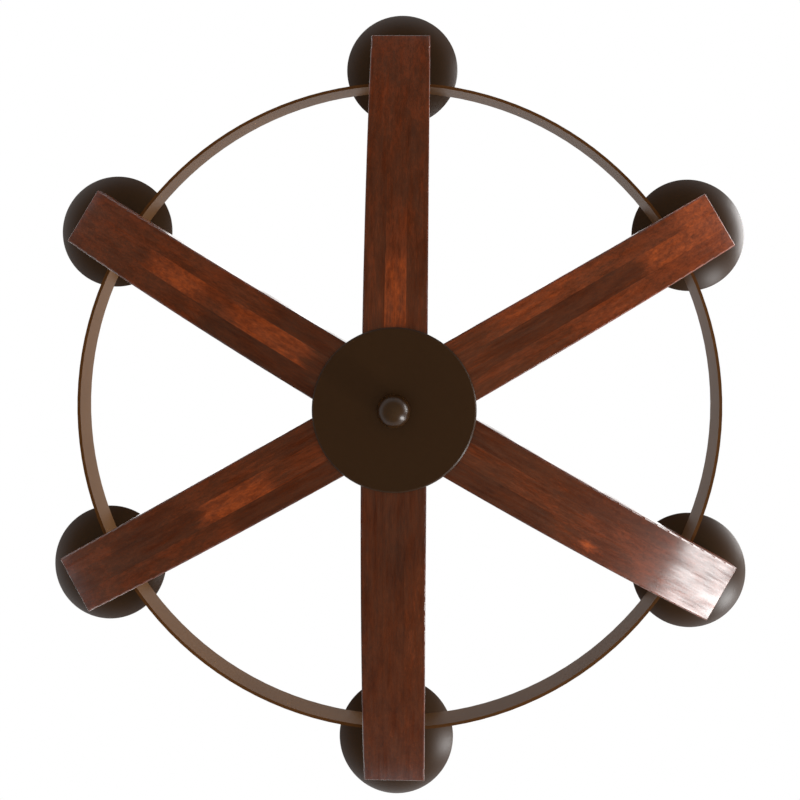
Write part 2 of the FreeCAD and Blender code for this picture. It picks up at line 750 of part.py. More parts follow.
def make_pan(number):
    """A shallow round pan: a flat middle and a wall that rises in one arc."""
    body = new_body(f"pan_{number}", f"first_angle + {number} * 360 / light_count")
    sweep = "(((pan_radius - pan_flat)^2 + pan_depth^2) / (2 * pan_depth))"
    inner_sweep = f"({sweep} - pan_wall)"
    rim = f"({PAN_BOTTOM} + pan_depth)"
    pan = [
        ("rod_radius + fit", PAN_BOTTOM),
        ("pan_flat", PAN_BOTTOM),
        ("pan_radius", rim, sweep),
        (f"pan_flat + sqrt({inner_sweep}^2 - ({sweep} - pan_depth)^2)", rim),
        ("pan_flat", PAN_FLOOR, f"-{inner_sweep}"),
        ("rod_radius + fit", PAN_FLOOR),
    ]
    turned(body, pan, along=PAN_AXIS)


def make_candles():
    """What stands in the pans, apart from the sleeves and bulbs: cups, hollow nipples and sockets."""
    cups = new_body("candle_cups", "first_angle")
    holder = "(sleeve_radius + fit)"
    cup = [
        ("rod_radius + fit", PAN_FLOOR),
        ("cup_foot_radius", PAN_FLOOR),
        ("cup_foot_radius", f"{PAN_FLOOR} + cup_floor"),
        ("cup_radius", f"{PAN_FLOOR} + cup_height", "-cup_flare"),
        (holder, f"{PAN_FLOOR} + cup_height"),
        (holder, SLEEVE_BOTTOM),
        ("rod_radius + fit", SLEEVE_BOTTOM),
    ]
    repeated(cups, [turned(cups, cup, along=PAN_AXIS)])

    nipples = new_body("candle_nipples", "first_angle")
    ends = (f"{PAN_BOTTOM} - post_top", f"{SOCKET_BOTTOM} + nipple_grip")
    repeated(nipples, [turned(nipples, tube_corners("rod_bore", "rod_radius", *ends), along=PAN_AXIS)])

    sockets = new_body("sockets", "first_angle")
    socket = [
        ("rod_radius + fit", SOCKET_BOTTOM),
        ("socket_radius", SOCKET_BOTTOM),
        ("socket_radius", SOCKET_TOP),
        ("socket_bore", SOCKET_TOP),
        ("socket_bore", BULB_BASE_BOTTOM),
        ("rod_bore", BULB_BASE_BOTTOM),
        ("rod_bore", f"{SOCKET_BOTTOM} + nipple_grip + fit"),
        ("rod_radius + fit", f"{SOCKET_BOTTOM} + nipple_grip + fit"),
    ]
    repeated(sockets, [turned(sockets, socket, along=PAN_AXIS)])

    bases = new_body("bulb_bases", "first_angle")
    contact = "(bulb_base_radius - bulb_contact_radius)"
    base = [
        ("0", BULB_BASE_BOTTOM),
        ("bulb_contact_radius", BULB_BASE_BOTTOM),
        ("bulb_base_radius", f"{BULB_BASE_BOTTOM} + {contact}"),
        ("bulb_base_radius", BULB_BOTTOM),
        ("0", BULB_BOTTOM),
    ]
    repeated(bases, [turned(bases, base, along=PAN_AXIS)])


def make_sleeve(number):
    body = new_body(f"candle_sleeve_{number}", f"first_angle + {number} * 360 / light_count")
    ends = (SLEEVE_BOTTOM, f"{SLEEVE_BOTTOM} + sleeve_length")
    turned(body, tube_corners("sleeve_radius - sleeve_wall", "sleeve_radius", *ends), along=PAN_AXIS)


def bulb_corners(inset):
    """The torpedo bulb's half outline from neck to tip, taken in by an inset: a straight neck, an arc out
    to the belly, an arc in to the point and a rounded tip, each meeting the next without a corner."""
    swell = "(bulb_radius - bulb_neck_radius)"
    belly_up = f"({BULB_BOTTOM} + bulb_neck_length + bulb_belly)"
    neck_sweep = f"(({swell}^2 + bulb_belly^2) / (2 * {swell}))"
    rise = "(bulb_length - bulb_neck_length - bulb_belly - bulb_point)"
    point_sweep = f"((bulb_radius^2 + {rise}^2 - bulb_point^2) / (2 * (bulb_radius - bulb_point)))"
    share = f"(({point_sweep} - {inset}) / ({point_sweep} - bulb_point))"
    tip_start = (f"({point_sweep} - bulb_radius) * ({share} - 1)", f"{belly_up} + {rise} * {share}")
    neck_up = f"({belly_up} - sqrt(({neck_sweep} - {inset})^2 - ({neck_sweep} - {swell} - {inset})^2))"
    return [
        (f"bulb_neck_radius - {inset}", BULB_BOTTOM),
        (f"bulb_neck_radius - {inset}", neck_up),
        (f"bulb_radius - {inset}", belly_up, f"({neck_sweep} - {inset})"),
        (*tip_start, f"({point_sweep} - {inset})"),
        ("0", f"{belly_up} + {rise} + bulb_point - {inset}", f"(bulb_point - {inset})"),
    ]


def make_bulb(number):
    """The glass of a candle bulb, open at its neck."""
    body = new_body(f"bulb_{number}", f"first_angle + {number} * 360 / light_count")
    inner = [corner[:2] for corner in reversed(bulb_corners("bulb_wall"))]
    radii = [corner[2] if len(corner) == 3 else None for corner in reversed(bulb_corners("bulb_wall"))]
    hollow = [inner[0]]
    for corner, radius in zip(inner[1:], radii):
        hollow.append((*corner, f"-{radius}") if radius else corner)
    turned(body, bulb_corners("0") + hollow, along=PAN_AXIS)


# ---- column and stem -------------------------------------------------------------------------------------


def make_column():
    """The hollow threaded rod through hub and column, with what it clamps, and the stem above."""
    rod = new_body("center_rod")
    turned(rod, tube_corners("rod_bore", "rod_radius", "-drop - finial_thread", ROD_TOP))
    crosswise(rod, [("rod_bore - fit", bow(LEAD_RADIUS, "lead_start"))], "2 * rod_radius", cut=True)

    nuts = new_body("nipple_nuts", "first_angle")
    size = ("rod_nut_flats", "rod_radius + fit")
    repeated(nuts, [nut(nuts, *size, SLEEVE_BOTTOM, "rod_nut_height", PAN_AXIS)])
    nut(nuts, *size, LOWER_PLATE_TOP, "rod_nut_height")

    base = new_body("column_base")
    collar = [
        ("rod_radius + fit", HUB_TOP),
        ("column_base_radius", HUB_TOP),
        ("column_base_radius", f"{HUB_TOP} + column_base_foot"),
        ("cap_radius", f"{HUB_TOP} + column_base_neck", "-column_base_flare"),
        ("cap_radius", f"{HUB_TOP} + column_base_height"),
        ("column_radius + fit", f"{HUB_TOP} + column_base_height"),
        ("column_radius + fit", TUBE_BOTTOM),
        ("rod_radius + fit", TUBE_BOTTOM),
    ]
    turned(base, collar)
    column = new_body("column_tube")
    turned(column, tube_corners("column_radius - column_wall", "column_radius", TUBE_BOTTOM, TUBE_TOP))

    cap = new_body("column_cap")
    shoulder = f"({CAP_TOP} - (cap_radius - stem_radius) / 2)"
    fitting = [
        ("column_radius + fit", CAP_BOTTOM),
        ("cap_radius", CAP_BOTTOM),
        ("cap_radius", shoulder),
        ("(cap_radius + stem_radius) / 2", CAP_TOP),
        ("stem_radius + fit", CAP_TOP),
        ("stem_radius + fit", STEM_BOTTOM),
        ("rod_bore", STEM_BOTTOM),
        ("rod_bore", f"{ROD_TOP} + fit"),
        ("rod_radius + fit", f"{ROD_TOP} + fit"),
        ("rod_radius + fit", TUBE_TOP),
        ("column_radius + fit", TUBE_TOP),
    ]
    turned(cap, fitting)
    stem = new_body("stem")
    turned(stem, tube_corners("stem_bore", "stem_radius", STEM_BOTTOM, STEM_TOP))


def make_knuckle():
    """The stem's upper end: a tongue that tilts on the pin. Its flat shoulder stops the tilt."""
    body = new_body("stem_knuckle")
    knuckle = [
        ("rod_bore", STEM_TOP),
        ("stem_radius + fit", STEM_TOP),
        ("stem_radius + fit", KNUCKLE_BOTTOM),
        ("knuckle_radius", KNUCKLE_BOTTOM),
        ("knuckle_radius", SHOULDER),
        ("rod_bore", SHOULDER),
    ]
    turned(body, knuckle)
    tongue = [
        ("-tongue_half_width", f"{SHOULDER} - overcut"),
        ("tongue_half_width", f"{SHOULDER} - overcut"),
        ("tongue_half_width", "-pin_depth"),
        ("0", "tongue_half_width - pin_depth", "tongue_half_width"),
        ("-tongue_half_width", "-pin_depth", "tongue_half_width"),
    ]
    slab(body, tongue, "tongue_thickness")
    wire_way = "(-pin_depth - pin_radius - 2 * rod_bore)"
    bored(body, "rod_bore", STEM_TOP, wire_way)
    holes = [("pin_radius + run_fit", "-pin_depth"), ("rod_bore - fit", wire_way)]
    crosswise(body, holes, "2 * knuckle_radius", cut=True)


def make_swivel():
    """The yoke that turns under the ceiling, its pin, and the fixed body, cap and stop screw around it."""
    yoke = new_body("swivel_yoke")
    crown = "-fork_top"
    spindle = [
        ("swivel_bore", crown),
        ("swivel_neck_radius", crown),
        ("swivel_neck_radius", FLANGE_BOTTOM),
        ("swivel_flange_radius", FLANGE_BOTTOM),
        ("swivel_flange_radius", FLANGE_TOP),
        ("swivel_hub_radius", FLANGE_TOP),
        ("swivel_hub_radius", f"{FLANGE_TOP} + swivel_hub_height"),
        ("swivel_bore", f"{FLANGE_TOP} + swivel_hub_height"),
    ]
    turned(yoke, spindle)
    lug_reach = "sqrt(swivel_flange_radius^2 - (swivel_lug_width / 2)^2)"
    lug = [
        ("overcut - swivel_hub_radius", "-swivel_lug_width / 2"),
        ("overcut - swivel_hub_radius", "swivel_lug_width / 2"),
        (f"-{lug_reach}", "swivel_lug_width / 2"),
        (f"-{lug_reach}", "-swivel_lug_width / 2"),
    ]
    raised(yoke, lug, FLANGE_TOP, "swivel_hub_height")
    stop_drop = "(shoulder_drop - shoulder_play)"
    stop_reach = "(shoulder_drop - run_fit)"
    side_drop = f"(({stop_reach} - fork_half_width * sin(tilt_limit)) / cos(tilt_limit))"
    corner = f"sqrt(fork_half_width^2 + {side_drop}^2)"
    round_end = f"(atan(fork_half_width / {side_drop}) - acos({stop_drop} / {corner}))"
    round_half = f"{stop_drop} * sin({round_end})"
    round_low = f"-pin_depth - {stop_drop} * cos({round_end})"
    fork = [
        ("-fork_half_width", crown),
        ("-fork_half_width", f"-pin_depth - {side_drop}"),
        (f"-{round_half}", round_low),
        (round_half, round_low, stop_drop),
        ("fork_half_width", f"-pin_depth - {side_drop}"),
        ("fork_half_width", crown),
    ]
    slab(yoke, fork, "2 * fork_half_breadth")
    slot_top = "(tongue_half_width + slot_roof - pin_depth)"
    slot = [
        ("-2 * fork_half_width", f"{SHOULDER}"),
        ("2 * fork_half_width", f"{SHOULDER}"),
        ("2 * fork_half_width", slot_top),
        ("-2 * fork_half_width", slot_top),
    ]
    slab(yoke, slot, "tongue_thickness + 2 * slot_play", cut=True)
    bored(yoke, "swivel_bore", "-pin_depth", crown)
    crosswise(yoke, [("pin_radius + run_fit", "-pin_depth")], "2 * fork_half_breadth", cut=True)

    pin = new_body("tilt_pin")
    face = "(fork_half_breadth + run_fit)"
    crosswise(pin, [("pin_radius", "-pin_depth")], f"2 * {face}")
    for side in ("", "-"):
        head_middle = f"{side}({face} + pin_head_height / 2)"
        crosswise(pin, [("pin_head_radius", "-pin_depth")], "pin_head_height", out=head_middle)

    body = new_body("swivel_body")
    shell = [
        ("rod_radius + fit", CAVITY_TOP),
        ("swivel_cavity_radius", CAVITY_TOP),
        ("swivel_cavity_radius", CAP_SEAT),
        ("swivel_cap_radius + fit", CAP_SEAT),
        ("swivel_cap_radius + fit", SWIVEL_BOTTOM),
        ("swivel_body_radius", SWIVEL_BOTTOM),
        ("swivel_body_radius", "-swivel_body_top"),
        ("rod_radius + fit", "-swivel_body_top"),
    ]
    turned(body, shell)
    screw_hole = ("stop_screw_radius + fit", "swivel_hub_radius", "swivel_body_radius + overcut")
    bored(body, *screw_hole, up=STOP_LEVEL, tilt="-90")
    cap = new_body("swivel_cap")
    turned(cap, tube_corners("swivel_neck_radius + run_fit", "swivel_cap_radius", SWIVEL_BOTTOM, CAP_SEAT))
    stop = new_body("stop_screw")
    shaft = tube_corners("0", "stop_screw_radius", "stop_screw_reach", "swivel_body_radius - fit")
    turned(stop, shaft, up=STOP_LEVEL, tilt="-90")


# ---- ceiling fittings ------------------------------------------------------------------------------------


def make_ceiling_fittings():
    """The slotted crossbar, the nipple and nut that hang from it, and the canopy with its two ball screws."""
    crossbar = new_body("crossbar")
    half, side = "crossbar_length / 2", "crossbar_width / 2"
    strap = [(f"-{half}", f"-{side}"), (half, f"-{side}"), (half, side), (f"-{half}", side)]
    raised(crossbar, strap, "-crossbar_thickness", "crossbar_thickness")
    holes = sketch_on(crossbar, "XY_Plane")
    circle_in(holes, "rod_radius + fit")
    for direction in ("", "-"):
        circle_in(holes, "canopy_screw_radius + fit", along=f"{direction}canopy_screw_spacing / 2")
        rounded_slot(holes, f"{direction}slot_spacing / 2", "slot_length", "slot_width")
    through = crossbar.newObject("PartDesign::Pocket", "holes")
    through.Profile = holes
    through.Type = "ThroughAll"

    nipple = new_body("mount_nipple")
    turned(nipple, tube_corners("rod_bore", "rod_radius", CAVITY_TOP, "-mount_nipple_top"))
    lock_nut = new_body("mount_nut")
    nut_bottom = "-crossbar_thickness - rod_nut_height"
    nut(lock_nut, "rod_nut_flats", "rod_radius + fit", nut_bottom, "rod_nut_height")

    canopy = new_body("canopy")
    hole = "(swivel_body_radius + canopy_hole_play)"
    inner_shoulder = "(canopy_shoulder - canopy_wall)"
    dish = [
        (hole, "-canopy_depth"),
        ("canopy_radius - canopy_shoulder", "-canopy_depth"),
        ("canopy_radius", "canopy_shoulder - canopy_depth", "canopy_shoulder"),
        ("canopy_radius", "0"),
        ("canopy_radius - canopy_wall", "0"),
        ("canopy_radius - canopy_wall", "canopy_shoulder - canopy_depth"),
        ("canopy_radius - canopy_shoulder", "canopy_wall - canopy_depth", f"-{inner_shoulder}"),
        (hole, "canopy_wall - canopy_depth"),
    ]
    turned(canopy, dish)
    screws = new_body("canopy_screws")
    ball_up = "(-canopy_depth - sqrt(canopy_knob_radius^2 - canopy_knob_neck^2))"
    screw = [
        ("0", f"{ball_up} - canopy_knob_radius"),
        ("canopy_knob_radius", ball_up, "canopy_knob_radius"),
        ("canopy_knob_neck", "-canopy_depth", "canopy_knob_radius"),
        ("canopy_screw_radius", "-canopy_depth"),
        ("canopy_screw_radius", "-mount_nipple_top"),
        ("0", "-mount_nipple_top"),
    ]
    for direction in ("", "-"):
        place = f"{direction}canopy_screw_spacing / 2"
        bored(canopy, "canopy_screw_radius + fit", "-canopy_depth", "0", along=place)
        turned(screws, screw, along=place)


def check_and_export():
    """Stops on any failed feature or bad shape, then writes one file for each body."""
    document.recompute()
    for item in document.Objects:
        if "Invalid" in item.State or "Error" in item.State:
            raise RuntimeError(f"{item.Label} failed: {item.State}")
    os.makedirs("parts", exist_ok=True)
    bodies = [item for item in document.Objects if item.TypeId == "PartDesign::Body"]
    for body in bodies:
        if body.Shape.isNull() or not body.Shape.isValid():
            raise RuntimeError(f"{body.Label} has no sound shape")
        body.Shape.exportStep(f"parts/{body.Label}.step")
        print(f"{body.Label}: {len(body.Shape.Solids)} solids, {body.Shape.Volume / 1000:.2f} cm3")
    print(f"{len(bodies)} nodes")


lights = range(1, int(SIZES["light_count"]) + 1)
for light in lights:
    make_arm(light)
make_wire_strips()
make_arm_leads()
make_hub()
make_hub_cover()
make_ring()
make_wood_screws("bracket", "bracket_screws")
make_wood_screws("post", "post_screws")
make_pan_posts()
for light in lights:
    make_pan(light)
    make_sleeve(light)
    make_bulb(light)
make_candles()
make_column()
make_knuckle()
make_swivel()
make_ceiling_fittings()
check_and_export()
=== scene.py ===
"""Looks for a six-arm wagon wheel chandelier: stained wooden arms, satin bronze paint, candle lights."""

import json
from math import radians

import bmesh
import bpy
import numpy as np
from mathutils import Matrix, Vector


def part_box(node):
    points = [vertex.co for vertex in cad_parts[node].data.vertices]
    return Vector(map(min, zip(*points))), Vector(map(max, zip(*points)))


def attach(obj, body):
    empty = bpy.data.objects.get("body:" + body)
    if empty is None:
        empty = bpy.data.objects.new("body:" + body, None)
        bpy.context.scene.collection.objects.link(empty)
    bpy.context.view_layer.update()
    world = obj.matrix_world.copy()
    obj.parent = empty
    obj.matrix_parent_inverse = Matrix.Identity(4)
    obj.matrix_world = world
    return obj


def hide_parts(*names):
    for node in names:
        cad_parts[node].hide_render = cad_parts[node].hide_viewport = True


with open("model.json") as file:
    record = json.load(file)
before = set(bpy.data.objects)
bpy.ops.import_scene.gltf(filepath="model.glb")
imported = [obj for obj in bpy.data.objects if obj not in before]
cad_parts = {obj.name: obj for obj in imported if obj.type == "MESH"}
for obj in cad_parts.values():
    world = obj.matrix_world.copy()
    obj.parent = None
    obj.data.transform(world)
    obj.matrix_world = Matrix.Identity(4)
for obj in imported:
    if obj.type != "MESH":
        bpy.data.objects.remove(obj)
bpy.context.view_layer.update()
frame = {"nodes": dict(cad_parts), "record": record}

bl_info = {
    "name": "Wagon wheel chandelier",
    "version": (1, 0, 0),
    "blender": (4, 5, 0),
    "location": "View3D > Sidebar > Chandelier",
    "description": "Dresses a six-arm chandelier frame in wood, bronze paint, candles and bulbs",
    "category": "Object",
}

LIGHTS = range(1, 7)
SLOTS = {part["node"]: part["material_slot"] for part in frame["record"]["subparts"]}
MM = 0.001

# The floor's height under the ceiling and its reach, in metres.
FLOOR_LEVEL = -2.6
FLOOR_RADIUS = 9.0
# The picture's width and the camera's focal length in its pixels, and the camera's sensor in millimetres.
PICTURE = 800
FOCAL_PIXELS = 919.5
SENSOR = 36.0


def linear(code):
    """An sRGB hex colour as linear light, with full alpha."""
    values = np.array([int(code[i : i + 2], 16) for i in (1, 3, 5)]) / 255
    values = np.where(values <= 0.04045, values / 12.92, ((values + 0.055) / 1.055) ** 2.4)
    return (*values.tolist(), 1.0)


# ---- what a user may change ----------------------------------------------------------------------------------


def colour(title, code, about):
    start = linear(code)[:3]
    return bpy.props.FloatVectorProperty(name=title, description=about, subtype="COLOR", default=start)


class ChandelierFinishes(bpy.types.PropertyGroup):
    """Colours of the finishes."""

    wood_dark: colour("Darkest wood", "#341003", "Stain in the darkest blocks of the arms")
    wood_brown: colour("Brown wood", "#4e210a", "Stain in most of the arms")
    wood_red: colour("Red-brown wood", "#6c3014", "Stain in the redder blocks")
    wood_light: colour("Lightest wood", "#97481f", "Stain in the blocks with curly figure")
    bronze: colour("Bronze paint", "#2a1805", "Satin paint on the steel parts")
    # The strap colour is partly painted sheen: it is lighter than the bronze paint to stand for the ring's
    # bright inner face.
    strap: colour("Strap lacquer", "#523820", "Lacquer on the ring")
    ivory: colour("Candle sleeve", "#d9caa6", "Ivory resin of the candle sleeves")


class ChandelierPieces(bpy.types.PropertyGroup):
    """Sizes of the pieces that are added to the frame."""

    cover_edge: bpy.props.FloatProperty(
        name="Cover edge",
        description="Width of the softened edge of the hub's cover",
        default=1.8 * MM,
        unit="LENGTH",
    )
    filament: bpy.props.FloatProperty(
        name="Filament wire", description="Radius of the bulbs' filament wire", default=0.22 * MM, unit="LENGTH"
    )


# ---- surfaces ------------------------------------------------------------------------------------------------


def turned(profile, steps=72):
    """A profile of (radius, height) carried round Z: x = r cos a, y = r sin a, z = h. Rows follow the angle."""
    radius, height = np.asarray(profile, float).T
    angle = np.linspace(0, 2 * np.pi, steps, endpoint=False)[:, None]
    points = [np.cos(angle) * radius, np.sin(angle) * radius, np.broadcast_to(height, (steps, len(height)))]
    return np.stack(points, axis=-1)


def bend(centre, radius, start, end, count=12):
    """Points of an arc about a centre, with angles in degrees: (cx + r cos a, cy + r sin a)."""
    angle = np.radians(np.linspace(start, end, count))
    return np.stack([centre[0] + radius * np.cos(angle), centre[1] + radius * np.sin(angle)], axis=-1)


def path_tube(path, radius, sides=8):
    """A round wire along a path: at each point, a circle in the plane square to the path's direction. The
    circle's first axis is one sideways direction made square to the path, so it never twists."""
    path = np.asarray(path, float)
    ahead = np.gradient(path, axis=0)
    ahead /= np.linalg.norm(ahead, axis=1, keepdims=True)
    aside = np.cross(ahead, (0.123, 0.987, 0.1))
    aside /= np.linalg.norm(aside, axis=1, keepdims=True)
    up = np.cross(ahead, aside)
    angle = np.linspace(0, 2 * np.pi, sides, endpoint=False)[:, None, None]
    return path + radius * (np.cos(angle) * aside + np.sin(angle) * up)


def grid_faces(rows, columns, wrap_columns=False):
    """Four-cornered faces between neighbouring grid points. Rows always join up; columns may."""
    index = np.arange(rows * columns).reshape(rows, columns)
    index = np.vstack([index, index[:1]])
    if wrap_columns:
        index = np.hstack([index, index[:, :1]])
    corners = [index[:-1, :-1], index[1:, :-1], index[1:, 1:], index[:-1, 1:]]
    return np.stack(corners, axis=-1).reshape(-1, 4)


def placed(points, spots):
    """The same grid of points once at each spot."""
    return [points + np.array(spot) for spot in spots]


def gridded(grids, wrap=False):
    """The points and faces of several grids together."""
    vertices, faces, start = [], [], 0
    for grid in grids:
        rows, columns = grid.shape[:2]
        vertices.append(grid.reshape(-1, 3))
        faces.append(grid_faces(rows, columns, wrap) + start)
        start += rows * columns
    return np.concatenate(vertices), np.concatenate(faces)


def triangles_of(node):
    """The points and triangles of a node's own surface."""
    mesh = frame["nodes"][node].data
    points, corners = np.empty(len(mesh.vertices) * 3), np.empty(len(mesh.loops), int)
    mesh.vertices.foreach_get("co", points)
    mesh.loops.foreach_get("vertex_index", corners)
    return points.reshape(-1, 3), corners.reshape(-1, 3)


def make_object(name, surface, material, sharp=35, join=1e-7, turn_out=True):
    """One object from points and faces. Doubled points at poles and seams are merged, faces are turned
    outwards, and edges stay crisp where the surface turns by more than an angle."""
    vertices, faces = surface
    mesh = bpy.data.meshes.new(name)
    mesh.from_pydata(vertices, [], faces.tolist())
    mesh.validate()
    shape = bmesh.new()
    shape.from_mesh(mesh)
    bmesh.ops.remove_doubles(shape, verts=shape.verts, dist=join)
    bmesh.ops.dissolve_degenerate(shape, edges=shape.edges, dist=1e-8)
    if turn_out:
        bmesh.ops.recalc_face_normals(shape, faces=shape.faces)
    shape.to_mesh(mesh)
    shape.free()
    mesh.shade_smooth()
    mesh.set_sharp_from_angle(angle=radians(sharp))
    mesh.materials.append(material)
    made = bpy.data.objects.new(name, mesh)
    bpy.context.scene.collection.objects.link(made)
    return made


def make_piece(name, surface, material, finish, stands_for=(), body="chandelier", **shaping):
    """A piece that rides on a body, in place of the named nodes. The finish is not used."""
    piece = make_object(name, surface, material, **shaping)
    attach(piece, body)
    if stands_for:
        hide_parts(*stands_for)


def smoothed(name, node, material, finish, body="chandelier"):
    """A node's own surface with its triangles joined, so that it shades smoothly along its bow or round."""
    shaping = {"sharp": 15, "join": 2e-6, "turn_out": False}
    make_piece(name, triangles_of(node), material, finish, [node], body, **shaping)


def foot_of(node):
    """The middle of a node's lowest level, and its height in millimetres."""
    low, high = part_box(node)
    return Vector(((low.x + high.x) / 2, (low.y + high.y) / 2, low.z)), (high.z - low.z) / MM


def finish_nodes(names, material):
    for name in names:
        mesh = frame["nodes"][name].data
        mesh.materials.clear()
        mesh.materials.append(material)


# ---- materials -----------------------------------------------------------------------------------------------


def new_material(name):
    """An empty node material, its tree, and object coordinates in millimetres."""
    material = bpy.data.materials.new(name)
    material.use_nodes = True
    tree = material.node_tree
    tree.nodes.clear()
    place = add_node(tree, "TexCoord").outputs["Object"]
    return material, tree, add_node(tree, "Mapping", {"Vector": place, "Scale": (1000, 1000, 1000)}).outputs[0]


def add_node(tree, kind, inputs=None, stops=(), **settings):
    """Adds a node with its settings; each input is given a value or linked to another node's output. A colour
    ramp also gets its stops, each a position and a colour or grey."""
    node = tree.nodes.new(f"ShaderNode{kind}")
    for name, value in settings.items():
        setattr(node, name, value)
    for name, value in (inputs or {}).items():
        if isinstance(value, bpy.types.NodeSocket):
            tree.links.new(value, node.inputs[name])
        else:
            node.inputs[name].default_value = value
    if stops:
        elements = node.color_ramp.elements
        while len(elements) < len(stops):
            elements.new(1.0)
        for element, (position, shade) in zip(elements, stops):
            element.position = position
            element.color = shade if hasattr(shade, "__len__") else (shade, shade, shade, 1)
    return node


def grain(tree, place, lengths, detail=4.0, roughness=0.55, offset=0.0):
    """A fractal pattern whose cells are the given millimetres long on each axis, about -0.5 to 0.5."""
    scale = tuple(1 / length for length in lengths)
    shrunk = add_node(tree, "Mapping", {"Vector": place, "Scale": scale}).outputs[0]
    inputs = {"Vector": shrunk, "Scale": 1.0, "Detail": detail, "Roughness": roughness, "W": offset}
    texture = add_node(tree, "TexNoise", inputs, noise_dimensions="4D").outputs["Fac"]
    return add_node(tree, "Math", {0: texture, 1: 0.5}, operation="SUBTRACT").outputs[0]


def weighed_sum(tree, start, *terms):
    """The start plus each pattern times its weight."""
    total = start
    for part, weight in terms:
        total = add_node(tree, "Math", {0: part, 1: weight, 2: total}, operation="MULTIPLY_ADD").outputs[0]
    return total


def tinted(tree, tint, *terms):
    """A colour made lighter and darker by patterns, each with its weight."""
    level = weighed_sum(tree, 1.0, *terms)
    return add_node(tree, "VectorMath", {0: tint, "Scale": level}, operation="SCALE").outputs[0]


def finish_material(tree, shader_inputs, height=None, depth=0.0):
    """Main shader and output, with an optional height pattern of the given depth."""
    if height is not None:
        bump = add_node(tree, "Bump", {"Height": height, "Distance": depth, "Strength": 1.0})
        shader_inputs = {**shader_inputs, "Normal": bump.outputs[0]}
    shader = add_node(tree, "BsdfPrincipled", shader_inputs)
    add_node(tree, "OutputMaterial", {"Surface": shader.outputs[0]})


# The length that an arm's stains are mapped over, and the arm's width, in millimetres.
BOARD = 400.0
BOARD_WIDTH = 63.5
# How far a finger joint's blend reaches to each side, in millimetres.
JOINT = 9.0
# A cell so long, in millimetres, that a pattern does not change along it.
DEEP = 5000.0

# The three glued strips of each arm, hub to tip, on its two sides and in the middle: each block as the
# millimetres from the axis where it ends, and its stain from 0, dark, to 1, light.
STRIPS = {
    1: {
        "near": [(240, 0.34), (400, 0.42)],
        "middle": [(76, 0.3), (148, 0.74), (205, 0.5), (400, 0.42)],
        "far": [(160, 0.34), (290, 0.36), (400, 0.42)],
    },
    # Arm 2's last blocks, at its tip, are partly painted sheen: their stain is raised to stand for the gloss
    # haze on that tip.
    2: {
        "near": [(120, 0.42), (235, 0.6), (340, 0.46), (400, 0.72)],
        "middle": [(110, 0.34), (290, 0.24), (400, 0.72)],
        "far": [(180, 0.42), (330, 0.54), (400, 0.6)],
    },
    3: {
        "near": [(150, 0.2), (300, 0.32), (400, 0.4)],
        "middle": [(110, 0.4), (250, 0.36), (400, 0.42)],
        "far": [(190, 0.16), (290, 0.36), (400, 0.5)],
    },
    4: {
        "near": [(150, 0.2), (330, 0.3), (400, 0.26)],
        "middle": [(175, 0.14), (205, 0.2), (400, 0.26)],
        "far": [(220, 0.2), (400, 0.22)],
    },
    5: {
        "near": [(190, 0.22), (250, 0.4), (400, 0.42)],
        "middle": [(138, 0.42), (222, 0.74), (345, 0.22), (400, 0.34)],
        "far": [(120, 0.3), (230, 0.42), (330, 0.3), (400, 0.4)],
    },
    6: {
        "near": [(210, 0.16), (400, 0.4)],
        "middle": [(100, 0.26), (190, 0.72), (225, 0.5), (292, 0.74), (400, 0.46)],
        "far": [(150, 0.22), (400, 0.42)],
    },
}


def strip_stops(blocks):
    """Grey stops along an arm: each block's stain, blending where the next block is jointed on."""
    stops, start = [], 0.0
    for end, stain in blocks:
        stops += [(max(start + JOINT, 0) / BOARD, stain), ((end - JOINT) / BOARD, stain)]
        start = end
    return stops


